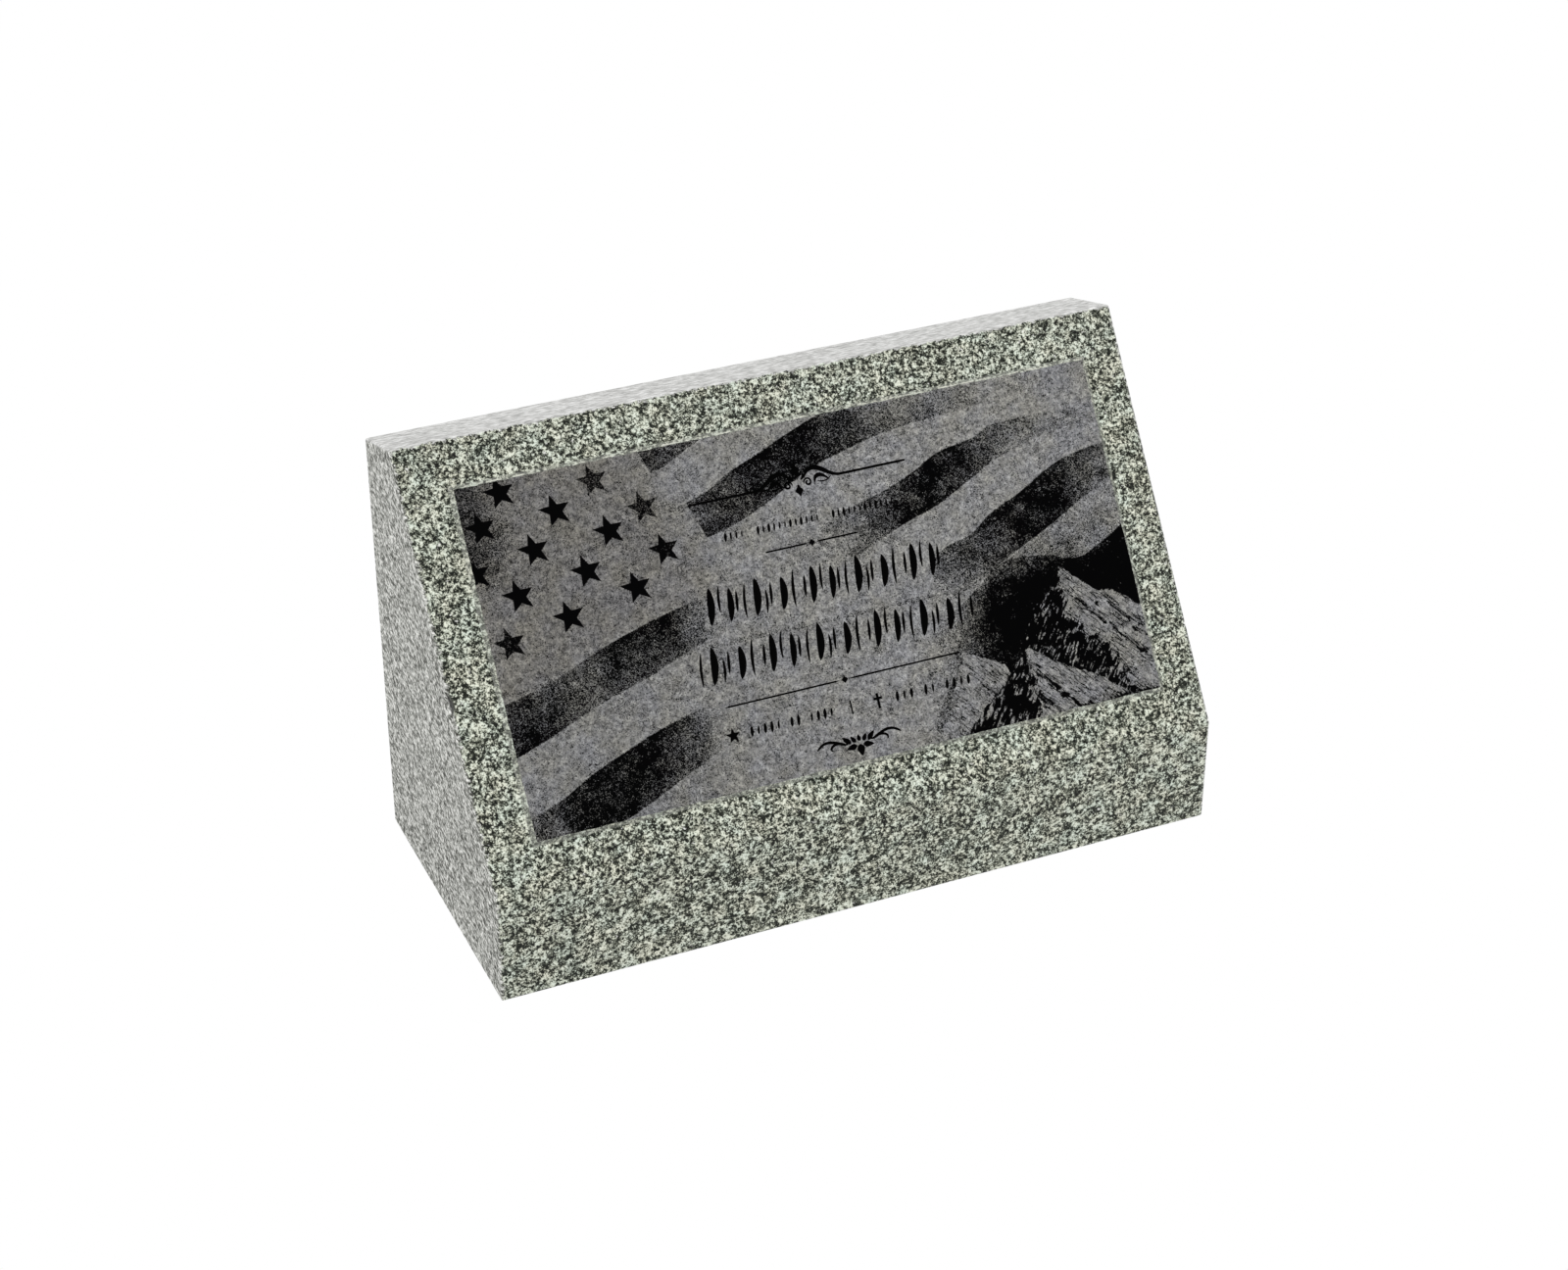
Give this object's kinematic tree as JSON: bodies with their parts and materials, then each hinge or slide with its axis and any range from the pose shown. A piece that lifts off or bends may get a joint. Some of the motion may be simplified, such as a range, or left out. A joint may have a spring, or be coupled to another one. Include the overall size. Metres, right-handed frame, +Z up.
{
  "type": "slant headstone",
  "caption": "Granite grave marker with an upright nose, a sloping face that carries a low raised lettered panel, and a narrow top that falls to the back.",
  "frame": {"origin": "on the ground, under the middle of the stone", "axes": "+Z up, the slant and the nose look towards -Y, +X to the right seen from the front"},
  "size_m": [0.61, 0.263, 0.376],
  "materials": {
    "granite": "polished speckled front with a grey etched panel and black cuts, paler honed sides, top and back"
  },
  "bodies": {
    "root": {"slant_headstone": "granite"}
  },
  "joints": []
}
